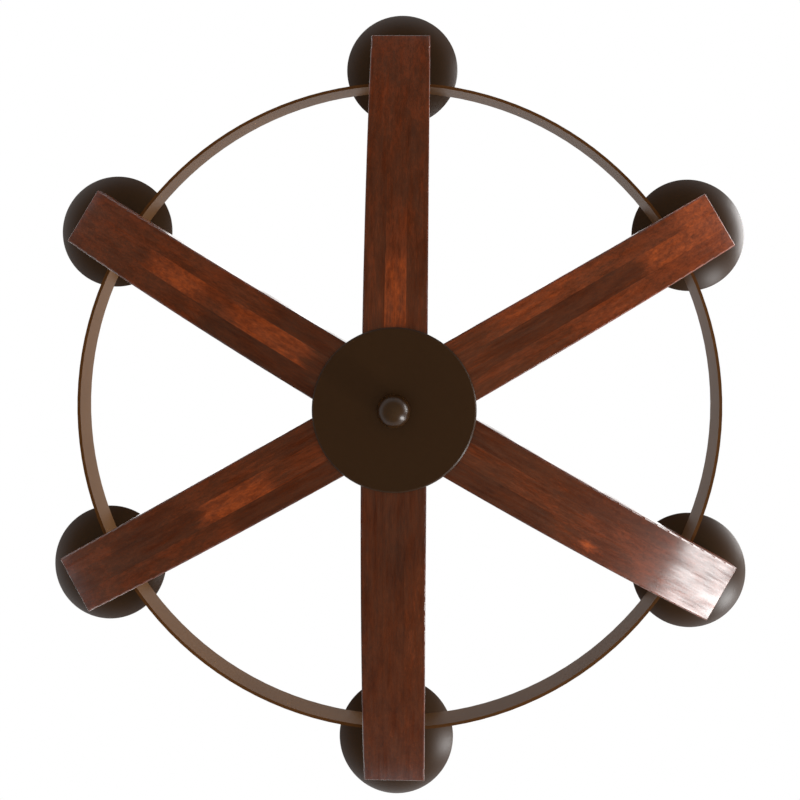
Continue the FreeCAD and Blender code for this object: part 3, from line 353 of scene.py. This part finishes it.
def lacquered_hardwood(number, finishes):
    """Rubberwood blocks finger-jointed into three strips, glued edge to edge, stained mahogany and sprayed
    with semi-gloss lacquer: streaks run along the arm, light blocks show a curly figure, and the lacquer
    gives a clear gloss that breaks up over the grain."""
    material, tree, place = new_material(f"stained_lacquered_rubberwood_{number}")
    turn = radians(30 + 60 * number)
    local = add_node(tree, "Mapping", {"Vector": place, "Rotation": (0, 0, -turn)}).outputs[0]
    along, across, _ = add_node(tree, "SeparateXYZ", {"Vector": local}).outputs
    seed = 7.3 * number

    ragged = grain(tree, local, (50, 7, 7), offset=seed)
    reach = weighed_sum(tree, along, (ragged, 30))
    reach = add_node(tree, "Math", {0: reach, 1: BOARD}, operation="DIVIDE").outputs[0]
    stains = {
        side: add_node(tree, "ValToRGB", {"Fac": reach}, strip_stops(blocks)).outputs[0]
        for side, blocks in STRIPS[number].items()
    }
    half_strip = BOARD_WIDTH / 6
    on_near = add_node(tree, "Math", {0: across, 1: -half_strip}, operation="LESS_THAN").outputs[0]
    on_far = add_node(tree, "Math", {0: across, 1: half_strip}, operation="GREATER_THAN").outputs[0]
    two = {0: on_near, 6: stains["middle"], 7: stains["near"]}
    two = add_node(tree, "Mix", two, data_type="RGBA").outputs[2]
    three = add_node(tree, "Mix", {0: on_far, 6: two, 7: stains["far"]}, data_type="RGBA").outputs[2]
    stain = add_node(tree, "SeparateXYZ", {"Vector": three}).outputs[0]

    # Vessel streaks are 1 to 6 mm wide and run for 80 to 190 mm.
    broad = grain(tree, local, (190, 6, 6), detail=5, roughness=0.6, offset=seed + 1)
    fine = grain(tree, local, (80, 1.7, 1.7), detail=5, roughness=0.6, offset=seed + 2)
    thin = grain(tree, local, (120, 1.0, 1.0), detail=3, roughness=0.6, offset=seed + 8)
    cloud = grain(tree, local, (90, 14, 14), detail=3, offset=seed + 3)
    curl = grain(tree, local, (9, 3.5, 3.5), detail=4, roughness=0.65, offset=seed + 4)
    # Only the light blocks are curly.
    light = {"Value": stain, "From Min": 0.42, "From Max": 0.8, "To Min": 0.12, "To Max": 1.3}
    lively = add_node(tree, "MapRange", light).outputs[0]
    shade = weighed_sum(tree, stain, (broad, 0.6), (fine, 0.5), (thin, 0.4), (cloud, 0.45), (curl, lively))
    if number == 3:
        shade = weighed_sum(tree, shade, (knot(tree, local, (233, 21), (13, 6)), 0.6))

    # Open pores are short dark dashes, drawn 0.7 mm wide so that they show.
    pores = grain(tree, local, (7, 0.7, 0.7), detail=2, offset=seed + 5)
    pores = add_node(tree, "MapRange", {"Value": pores, "From Min": 0.16, "From Max": 0.3}).outputs[0]
    # The glue lines between strips are 0.4 mm wide, drawn as 0.6 mm.
    side = add_node(tree, "Math", {0: across}, operation="ABSOLUTE").outputs[0]
    glue = {0: side, 1: half_strip, 2: 0.3}
    glue = add_node(tree, "Math", glue, operation="COMPARE").outputs[0]

    stops = [
        (0.0, (*finishes.wood_dark, 1)),
        (0.36, (*finishes.wood_brown, 1)),
        (0.62, (*finishes.wood_red, 1)),
        (1.0, (*finishes.wood_light, 1)),
    ]
    wood = add_node(tree, "ValToRGB", {"Fac": shade}, stops).outputs[0]
    tone = tinted(tree, wood, (pores, -0.22), (glue, -0.18))
    # The lacquer sinks into the grain: ripples 4 mm wide, and duller streaks where little of it is left. They
    # do not change with height.
    ripple = grain(tree, local, (40, 4, DEEP), detail=1, offset=seed + 6)
    patchy = grain(tree, local, (40, 2.4, DEEP), detail=4, roughness=0.6, offset=seed + 7)
    worn = grain(tree, local, (45, 12, DEEP), detail=2, offset=seed + 9)
    lacquer = weighed_sum(tree, 0.72, (patchy, 2.0), (worn, 1.6))
    inputs = {
        "Base Color": tone,
        "Roughness": weighed_sum(tree, 0.4, (patchy, 0.4)),
        "IOR": 1.45,
        "Specular IOR Level": 0.1,
        "Coat Weight": add_node(tree, "Clamp", {"Value": lacquer, "Min": 0.06}).outputs[0],
        "Coat Roughness": 0.14,
        "Coat IOR": 1.32,
    }
    finish_material(tree, inputs, ripple, 0.01 * MM)
    return material


def knot(tree, local, centre, size):
    """A pale knot: 1 in its middle, falling off as an ellipse of the given half sizes."""
    about = add_node(tree, "Mapping", {"Vector": local, "Location": (-centre[0], -centre[1], 0)}).outputs[0]
    flat = add_node(tree, "Mapping", {"Vector": about, "Scale": (1 / size[0], 1 / size[1], 0)}).outputs[0]
    distance = add_node(tree, "VectorMath", {0: flat}, operation="LENGTH").outputs["Value"]
    ragged = grain(tree, local, (6, 4, 4), offset=3.0)
    near = weighed_sum(tree, 1.0, (distance, -1.0), (ragged, -2.0))
    return add_node(tree, "Clamp", {"Value": near}).outputs[0]


def satin_bronze_paint(finishes, name="satin_bronze_paint", roughness=0.4, shine=0.2):
    """Sprayed satin enamel over steel: an even dark brown with a faint orange peel of about 0.8 mm and slow
    changes in gloss."""
    material, tree, place = new_material(name)
    cloudy = grain(tree, place, (60, 60, 60), detail=3)
    peel = grain(tree, place, (0.8, 0.8, 0.8), detail=2)
    speck = grain(tree, place, (2.2, 2.2, 2.2), offset=5.0)
    inputs = {
        "Base Color": tinted(tree, tuple(finishes.bronze), (cloudy, 0.25), (speck, 0.14)),
        "Roughness": weighed_sum(tree, roughness, (cloudy, 0.1)),
        "IOR": 1.45,
        "Specular IOR Level": shine,
    }
    finish_material(tree, inputs, peel, 0.007 * MM)
    return material


def strap_lacquer_and_sheen(finishes):
    """Bronze lacquer over rolled steel strap: a dark warm brown, made lighter than the bronze paint and given
    only a weak gloss, so the colour is partly painted sheen for the ring's bright inner face. Rolling lines run
    round the ring under the lacquer and break up its sheen. They are 0.2 mm apart, drawn as 2 mm so that they
    show."""
    material, tree, place = new_material("bronze_lacquered_steel_strap_and_sheen")
    lines = grain(tree, place, (40, 40, 2), detail=1, offset=9.0)
    cloudy = grain(tree, place, (60, 60, 60), detail=3)
    inputs = {
        "Base Color": tinted(tree, tuple(finishes.strap), (lines, 0.2), (cloudy, 0.4)),
        "Roughness": weighed_sum(tree, 0.45, (lines, 0.1)),
        "IOR": 1.45,
        "Specular IOR Level": 0.06,
    }
    finish_material(tree, inputs)
    return material


def zinc_plate():
    """Bright zinc on steel: pale grey metal, a little blue, with dull patches a few millimetres across."""
    material, tree, place = new_material("zinc_plated_steel")
    patches = grain(tree, place, (5, 5, 5))
    marks = grain(tree, place, (0.9, 0.9, 0.9), detail=2, offset=2.0)
    stops = [(0.3, linear("#8f9092")), (0.7, linear("#c3c3c0"))]
    tone = add_node(tree, "ValToRGB", {"Fac": weighed_sum(tree, 0.5, (patches, 1.0))}, stops).outputs[0]
    gloss = weighed_sum(tree, 0.34, (patches, 0.3))
    finish_material(tree, {"Base Color": tone, "Metallic": 1.0, "Roughness": gloss}, marks, 0.02 * MM)
    return material


def plated_brass():
    """Nickel-plated brass of a bulb's base: warm bright metal with faint rolling marks."""
    material, tree, place = new_material("nickel_plated_brass")
    marks = grain(tree, place, (4, 4, 0.5), detail=3)
    stops = [(0.3, linear("#b9b2a4")), (0.7, linear("#d8d2c4"))]
    tone = add_node(tree, "ValToRGB", {"Fac": weighed_sum(tree, 0.5, (marks, 1.0))}, stops).outputs[0]
    gloss = weighed_sum(tree, 0.25, (marks, 0.2))
    finish_material(tree, {"Base Color": tone, "Metallic": 1.0, "Roughness": gloss}, marks, 0.02 * MM)
    return material


def ivory_resin(finishes):
    """Moulded ivory resin of a candle sleeve: soft sheen, a little light inside, slow yellowish clouds."""
    material, tree, place = new_material("ivory_candle_resin")
    clouds = grain(tree, place, (14, 14, 30))
    skin = grain(tree, place, (1.5, 1.5, 3), detail=3, offset=4.0)
    inputs = {
        "Base Color": tinted(tree, tuple(finishes.ivory), (clouds, 0.16)),
        "Roughness": weighed_sum(tree, 0.42, (skin, 0.15)),
        "IOR": 1.46,
        "Subsurface Weight": 0.15,
        "Subsurface Radius": (0.004, 0.003, 0.002),
        "Subsurface Scale": 1.0,
    }
    finish_material(tree, inputs, skin, 0.05 * MM)
    return material


def plain_plastic(name, code, roughness):
    """A moulded plastic: one colour with a fine spark-eroded texture, 0.5 mm across."""
    material, tree, place = new_material(name)
    skin = grain(tree, place, (0.5, 0.5, 0.5), detail=2)
    clouds = grain(tree, place, (20, 20, 20), detail=2, offset=1.0)
    tone = tinted(tree, linear(code)[:3], (clouds, 0.2))
    gloss = weighed_sum(tree, roughness, (skin, 0.1))
    finish_material(tree, {"Base Color": tone, "Roughness": gloss, "IOR": 1.47}, skin, 0.03 * MM)
    return material


def soda_glass():
    """Blown soda-lime glass of a bulb: clear, with a very faint waviness."""
    material, tree, place = new_material("soda_lime_glass")
    waves = grain(tree, place, (12, 12, 30), detail=2)
    inputs = {"Base Color": linear("#fbfbf8"), "Roughness": 0.0, "IOR": 1.5, "Transmission Weight": 1.0}
    finish_material(tree, inputs, waves, 0.05 * MM)
    return material


def tungsten():
    """Drawn tungsten wire: dark grey metal."""
    material, tree, place = new_material("tungsten_wire")
    marks = grain(tree, place, (1, 1, 1), detail=2)
    stops = [(0.2, linear("#55524e")), (0.8, linear("#7d7a75"))]
    tone = add_node(tree, "ValToRGB", {"Fac": weighed_sum(tree, 0.5, (marks, 1.0))}, stops).outputs[0]
    finish_material(tree, {"Base Color": tone, "Metallic": 1.0, "Roughness": 0.4})
    return material


def floor_plaster():
    """Pale matte plaster with slow clouds 400 mm across. The camera sees it mixed with plain near-white, so
    that it stays pale and still keeps the chandelier's shadow."""
    material, tree, place = new_material("pale_plaster_floor")
    clouds = weighed_sum(tree, 0.5, (grain(tree, place, (400, 400, 400)), 1.0))
    stops = [(0.2, linear("#b9a384")), (0.8, linear("#bfa98a"))]
    tone = add_node(tree, "ValToRGB", {"Fac": clouds}, stops).outputs[0]
    matte = add_node(tree, "BsdfPrincipled", {"Base Color": tone, "Roughness": 0.9}).outputs[0]
    white = add_node(tree, "Emission", {"Color": linear("#f4f2ee"), "Strength": 1.0}).outputs[0]
    seen = add_node(tree, "LightPath").outputs["Is Camera Ray"]
    share = add_node(tree, "Math", {0: seen, 1: 0.7}, operation="MULTIPLY").outputs[0]
    mixed = add_node(tree, "MixShader", {0: share, 1: matte, 2: white}).outputs[0]
    add_node(tree, "OutputMaterial", {"Surface": mixed})
    return material


# ---- operators -----------------------------------------------------------------------------------------------


class PieceOperator:
    """What the operators share: they run on the loaded frame and read the panel's values."""

    bl_options = {"REGISTER", "UNDO"}

    @property
    def finishes(self):
        return bpy.context.scene.chandelier_finishes

    @property
    def pieces(self):
        return bpy.context.scene.chandelier_pieces


class CHANDELIER_OT_arms(PieceOperator, bpy.types.Operator):
    """Give each wooden arm its own run of stained blocks"""

    bl_idname = "chandelier.arms"
    bl_label = "Wooden arms"

    def execute(self, context):
        for number in LIGHTS:
            wood = lacquered_hardwood(number, self.finishes)
            smoothed(f"bowed_arm_{number}", f"arm_{number}", wood, SLOTS[f"arm_{number}"])
        return {"FINISHED"}


class CHANDELIER_OT_metalwork(PieceOperator, bpy.types.Operator):
    """Paint the hub, ring, column, swivel and canopy, and plate the fasteners"""

    bl_idname = "chandelier.metalwork"
    bl_label = "Painted and plated metal"

    def execute(self, context):
        paint = satin_bronze_paint(self.finishes)
        for wanted, material in (("bronze_paint", paint), ("dark_steel", paint), ("zinc_steel", zinc_plate())):
            finish_nodes([node for node, name in SLOTS.items() if name == wanted], material)
        smoothed("rolled_ring", "ring", strap_lacquer_and_sheen(self.finishes), SLOTS["ring"])
        smoothed("spun_canopy", "canopy", paint, SLOTS["canopy"], "ceiling_mount")
        smoothed("drawn_stem", "stem", paint, SLOTS["stem"])
        for part in ("base", "tube", "cap"):
            smoothed(f"turned_column_{part}", f"column_{part}", paint, SLOTS[f"column_{part}"])
        finish_nodes(["sockets"], plain_plastic("black_phenolic", "#16130f", 0.45))
        finish_nodes(["arm_leads"], plain_plastic("brown_pvc", "#2a1c13", 0.5))
        return {"FINISHED"}


class CHANDELIER_OT_pans(PieceOperator, bpy.types.Operator):
    """Spin the pans, flat in the middle and swept up to a rounded rim"""

    bl_idname = "chandelier.pans"
    bl_label = "Pans"

    def execute(self, context):
        paint = bpy.data.materials["satin_bronze_paint"]
        flat, half_wall, bore = 13.0, 0.75, 4.9
        for number in LIGHTS:
            foot, depth = foot_of(f"pan_{number}")
            low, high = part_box(f"pan_{number}")
            radius = (high.x - low.x) / 2 / MM
            # The wall's middle line is an arc that leaves the flat level and ends in the rim's centre.
            reach, rise = radius - flat - half_wall, depth - 2 * half_wall
            sweep = (reach**2 + rise**2) / (2 * rise)
            lean = np.degrees(np.arcsin(reach / sweep)) - 90
            centre = (flat, sweep + half_wall)
            outer = bend(centre, sweep + half_wall, -90, lean, 40)
            rim = bend((radius - half_wall, depth - half_wall), half_wall, lean, lean + 180, 12)
            inner = bend(centre, sweep - half_wall, lean, -90, 40)
            profile = np.vstack([[(bore, 0)], outer, rim, inner, [(bore, 2 * half_wall)]]) * MM
            surface = gridded(placed(turned(profile, 128), [foot]), wrap=True)
            make_piece(f"spun_pan_{number}", surface, paint, "bronze_paint", [f"pan_{number}"])
        return {"FINISHED"}


class CHANDELIER_OT_candles(PieceOperator, bpy.types.Operator):
    """Make the candle sleeves with a softened upper edge"""

    bl_idname = "chandelier.candles"
    bl_label = "Candle sleeves"

    def execute(self, context):
        resin = ivory_resin(self.finishes)
        bore, half_wall = 10.8, 0.6
        for number in LIGHTS:
            node = f"candle_sleeve_{number}"
            foot, tall = foot_of(node)
            edge = bend((bore + half_wall, tall - half_wall), half_wall, 0, 180, 10)
            profile = np.vstack([[(bore, 0), (bore + 2 * half_wall, 0)], edge]) * MM
            surface = gridded(placed(turned(profile, 96), [foot]), wrap=True)
            make_piece(f"moulded_sleeve_{number}", surface, resin, "candle_sleeve", [node])
        return {"FINISHED"}


class CHANDELIER_OT_bulbs(PieceOperator, bpy.types.Operator):
    """Finish the bulbs: glass, filament on its glass stem, and a threaded metal base"""

    bl_idname = "chandelier.bulbs"
    bl_label = "Bulbs"

    def execute(self, context):
        glass, metal, wire = soda_glass(), plated_brass(), tungsten()
        spots = [foot_of(f"bulb_{number}")[0] for number in LIGHTS]
        finish_nodes([f"bulb_{number}" for number in LIGHTS], glass)

        # The filament: two lead wires up from the stem, and a wavy arch between them, half a cosine wave high.
        side = np.linspace(-1, 1, 41)
        loop = np.stack([5.5 * side, 1.2 * np.sin(side * 9), 46 + 9 * np.cos(side * np.pi / 2)], axis=-1)
        wires = [path_tube(loop * MM, self.pieces.filament)]
        for way in (-1, 1):
            rise = np.linspace(0, 1, 24)
            bow = np.stack([way * (1.2 + 4.3 * rise**1.6), 0 * rise, 18 + 28 * rise], axis=-1)
            wires.append(path_tube(bow * MM, self.pieces.filament * 0.8))
        surface = gridded([grid for part in wires for grid in placed(part, spots)])
        make_piece("filaments", surface, wire, "bulb_base_metal")

        stem = [(0, 2), (4.6, 2), (2.6, 6), (1.7, 12), (1.6, 18), (1.9, 20), (1.2, 21.2), (0, 21.6)]
        surface = gridded(placed(turned(np.array(stem) * MM, 32), spots))
        make_piece("glass_stems", surface, glass, "bulb_glass", sharp=60)

        # The base's rolled thread, drawn as rings: radius = middle + depth cos(2 pi height / pitch).
        middle, depth, pitch = 5.86, 0.32, 3.0
        foot, tall = foot_of("bulb_bases")
        height = np.linspace(4.2, tall - 2.5, 60)
        thread = np.stack([middle + depth * np.cos(2 * np.pi * height / pitch), height], axis=-1)
        tip = [(0, 0), (2.3, 0.2), (2.5, 0.9), (4.6, 3.1)]
        collar = [(6.1, tall - 1.2), (6.2, tall), (0, tall)]
        shell = turned(np.vstack([tip, thread, collar]) * MM, 48)
        surface = gridded(placed(shell, [(spot.x, spot.y, foot.z) for spot in spots]))
        make_piece("rolled_bulb_bases", surface, metal, "bulb_base_metal", ["bulb_bases"])
        return {"FINISHED"}


class CHANDELIER_OT_hub(PieceOperator, bpy.types.Operator):
    """Turn the hub's cover with its softened edge, and the ball under it"""

    bl_idname = "chandelier.hub"
    bl_label = "Hub cover and ball"

    def execute(self, context):
        paint = bpy.data.materials["satin_bronze_paint"]
        low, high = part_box("hub_cover")
        thick, wide = (high.z - low.z) / MM, (high.x - low.x) / 2 / MM
        # The edge is an arc between these two slopes, and takes up no more than a share of the plate.
        shallow, steep, share = 28, 62, 0.6
        edge = min(self.pieces.cover_edge / MM, share * thick)
        crown = edge / (np.cos(np.radians(shallow)) - np.cos(np.radians(steep)))
        centre = (wide - crown * np.cos(np.radians(shallow)), crown * np.sin(np.radians(steep)))
        rounded = bend(centre, crown, -steep, -shallow, 12)
        bore, corner = 4.9, 0.3
        softened = bend((wide - corner, thick - corner), corner, 0, 90, 5)
        rings = np.stack([np.linspace(bore, wide - edge - 0.5, 24), np.zeros(24)], axis=-1)
        profile = np.vstack([rings, rounded, softened, [(bore, thick)]]) * MM
        surface = gridded(placed(turned(profile, 192), [(0, 0, low.z)]), wrap=True)
        make_piece("turned_cover", surface, paint, "bronze_paint", ["hub_cover"], sharp=25)

        foot, tall = foot_of("finial")
        low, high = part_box("finial")
        radius = (high.x - low.x) / 2 / MM
        neck_radius, bead, hole_depth = 7.0, 1.3, 14
        neck = np.degrees(np.arccos(neck_radius / radius))
        ball = bend((0, radius), radius, -90, neck - 8, 60)
        collar = bend((8.6, tall - bead), bead, 20, 90, 8)
        hole = [(bore, tall), (bore, tall - hole_depth), (0, tall - hole_depth)]
        profile = np.vstack([ball[ball[:, 1] < tall - 2 * bead], collar, hole])
        surface = gridded(placed(turned(profile * MM, 128), [foot]))
        gloss = satin_bronze_paint(self.finishes, "polished_bronze_paint", 0.3, 0.35)
        make_piece("turned_ball", surface, gloss, "bronze_paint", ["finial"], sharp=50)
        return {"FINISHED"}


class CHANDELIER_OT_stage(PieceOperator, bpy.types.Operator):
    """Set up the pale floor, the soft lights, the white surroundings and the camera under the chandelier"""

    bl_idname = "chandelier.stage"
    bl_label = "Stage, lights and camera"

    def execute(self, context):
        self.floor()
        self.surroundings()
        # Both soft boxes stand at the picture's right: one at the ceiling's height, one lower than the hub. A
        # wide soft light comes down from above.
        self.soft_box("soft_box_right", (-2.3, 0.55, 0.1), 1.5, 0.9, 72)
        self.soft_box("soft_box_low", (-1.92, -1.42, -1.0), 0.5, 1.15, 56)
        self.sky_light()
        self.camera()
        return {"FINISHED"}

    def floor(self):
        """A level disc: a straight profile carried round Z."""
        disc = turned([(0, FLOOR_LEVEL), (FLOOR_RADIUS / 3, FLOOR_LEVEL), (FLOOR_RADIUS, FLOOR_LEVEL)], 96)
        make_object("floor", gridded([disc]), floor_plaster())

    def surroundings(self):
        """White to the camera, to gloss and through glass; a moderate even light for everything else."""
        world = bpy.data.worlds.new("white_surroundings")
        bpy.context.scene.world = world
        world.use_nodes = True
        tree = world.node_tree
        tree.nodes.clear()
        ray = add_node(tree, "LightPath").outputs
        seen = {0: ray["Is Camera Ray"], 1: ray["Is Glossy Ray"]}
        seen = add_node(tree, "Math", seen, operation="MAXIMUM").outputs[0]
        seen = add_node(tree, "Math", {0: seen, 1: ray["Is Transmission Ray"]}, operation="MAXIMUM").outputs[0]
        strength = weighed_sum(tree, 0.5, (seen, 0.5))
        back = add_node(tree, "Background", {"Color": (1, 1, 1, 1), "Strength": strength}).outputs[0]
        add_node(tree, "OutputWorld", {"Surface": back})

    def soft_box(self, name, place, wide, tall, power):
        lamp = bpy.data.lights.new(name, "AREA")
        lamp.shape = "RECTANGLE"
        lamp.size, lamp.size_y, lamp.energy = wide, tall, power
        stand = bpy.data.objects.new(name, lamp)
        stand.location = place
        aim = Vector((0, 0, -0.6)) - Vector(place)
        stand.rotation_euler = aim.to_track_quat("-Z", "Y").to_euler()
        bpy.context.scene.collection.objects.link(stand)

    def sky_light(self):
        lamp = bpy.data.lights.new("sky_light", "SUN")
        lamp.energy, lamp.angle = 2.0, radians(120)
        stand = bpy.data.objects.new("sky_light", lamp)
        stand.rotation_euler = (radians(12), radians(-14), 0)
        bpy.context.scene.collection.objects.link(stand)

    def camera(self):
        """Almost straight up from under the hub. The picture's right is -X and its top is +Y."""
        data = bpy.data.cameras.new("camera")
        data.sensor_width, data.lens = SENSOR, FOCAL_PIXELS / PICTURE * SENSOR
        data.shift_x, data.shift_y = -12 / PICTURE, -102 / PICTURE
        data.clip_start, data.clip_end = 0.01, 60
        eye = bpy.data.objects.new("camera", data)
        hub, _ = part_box("hub_cover")
        pitch, yaw, roll = radians(2.111), radians(1.141), radians(-0.452)
        aim = Matrix.Rotation(roll, 3, "Z") @ Matrix.Rotation(yaw, 3, "Y") @ Matrix.Rotation(pitch, 3, "X")
        picture = Matrix(((-1, 0, 0), (0, 1, 0), (0, 0, 1)))
        right, up, ahead = (picture @ Vector(aim[i]) for i in range(3))
        turn = Matrix((right, up, -ahead)).transposed()
        place = Vector((-0.034, 0.075, hub.z - 0.88497))
        eye.matrix_world = Matrix.Translation(place) @ turn.to_4x4()
        bpy.context.scene.collection.objects.link(eye)
        bpy.context.scene.camera = eye
        bpy.context.scene.view_settings.view_transform = "Standard"


class CHANDELIER_PT_panel(bpy.types.Panel):
    """The chandelier's pieces and finishes"""

    bl_label = "Chandelier"
    bl_idname = "CHANDELIER_PT_panel"
    bl_space_type = "VIEW_3D"
    bl_region_type = "UI"
    bl_category = "Chandelier"

    def draw(self, context):
        for operator in OPERATORS:
            self.layout.operator(operator.bl_idname)
        for group in (context.scene.chandelier_finishes, context.scene.chandelier_pieces):
            for name in type(group).__annotations__:
                self.layout.prop(group, name)


OPERATORS = (
    CHANDELIER_OT_arms,
    CHANDELIER_OT_metalwork,
    CHANDELIER_OT_pans,
    CHANDELIER_OT_candles,
    CHANDELIER_OT_bulbs,
    CHANDELIER_OT_hub,
    CHANDELIER_OT_stage,
)
CLASSES = (ChandelierFinishes, ChandelierPieces, *OPERATORS, CHANDELIER_PT_panel)


def register():
    for item in CLASSES:
        bpy.utils.register_class(item)
    bpy.types.Scene.chandelier_finishes = bpy.props.PointerProperty(type=ChandelierFinishes)
    bpy.types.Scene.chandelier_pieces = bpy.props.PointerProperty(type=ChandelierPieces)


def unregister():
    del bpy.types.Scene.chandelier_pieces
    del bpy.types.Scene.chandelier_finishes
    for item in reversed(CLASSES):
        bpy.utils.unregister_class(item)


def main():
    register()
    for operator in OPERATORS:
        group, name = operator.bl_idname.split(".")
        getattr(getattr(bpy.ops, group), name)()


if __name__ == "__main__":
    main()
